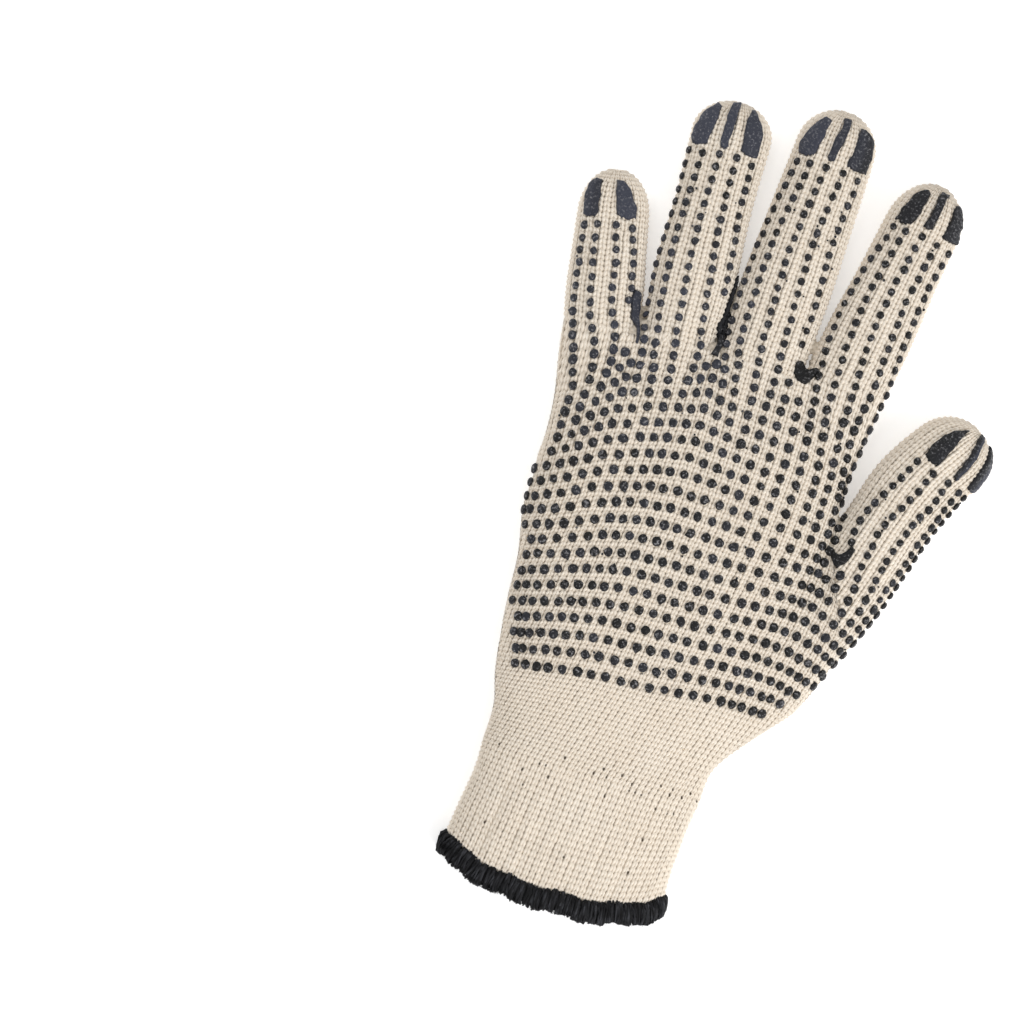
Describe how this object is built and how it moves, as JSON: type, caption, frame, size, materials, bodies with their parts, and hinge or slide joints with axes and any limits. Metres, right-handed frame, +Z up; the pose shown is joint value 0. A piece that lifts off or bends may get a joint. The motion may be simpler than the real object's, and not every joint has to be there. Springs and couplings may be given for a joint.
{
  "type": "cotton work glove",
  "caption": "Seamless string-knit cotton work glove for the right hand, palm up, with moulded grip dots, fingertip bars and an overlocked elastic cuff.",
  "frame": {"origin": "middle of the glove seen from above, on the surface that it lies on", "axes": "+Y from the cuff to the fingertips, +X to the thumb side, +Z up out of the dotted palm"},
  "size_m": [0.1376, 0.2482, 0.019],
  "materials": {
    "knit_cotton": "cream cotton string, plain jersey knit, matt with a short fuzz",
    "hem_thread": "black polyester overlock yarn, matt and fuzzy",
    "pvc": "soft moulded PVC, satin, slightly uneven"
  },
  "bodies": {
    "root": {"little_finger": "knit_cotton", "ring_finger": "knit_cotton", "middle_finger": "knit_cotton", "index_finger": "knit_cotton", "thumb": "knit_cotton", "palm": "knit_cotton", "cuff": "knit_cotton", "overlock_hem": "hem_thread", "tip_bar_little_1": "pvc", "tip_bar_little_2": "pvc", "tip_bar_ring_1": "pvc", "tip_bar_ring_2": "pvc", "tip_bar_ring_3": "pvc", "tip_bar_middle_1": "pvc", "tip_bar_middle_2": "pvc", "tip_bar_middle_3": "pvc", "tip_bar_index_1": "pvc", "tip_bar_index_2": "pvc", "tip_bar_index_3": "pvc", "tip_bar_thumb_1": "pvc", "tip_bar_thumb_2": "pvc", "tip_bar_thumb_3": "pvc", "web_little_ring": "pvc", "web_ring_middle": "pvc", "web_middle_index": "pvc", "web_thumb": "pvc"}
  },
  "joints": []
}
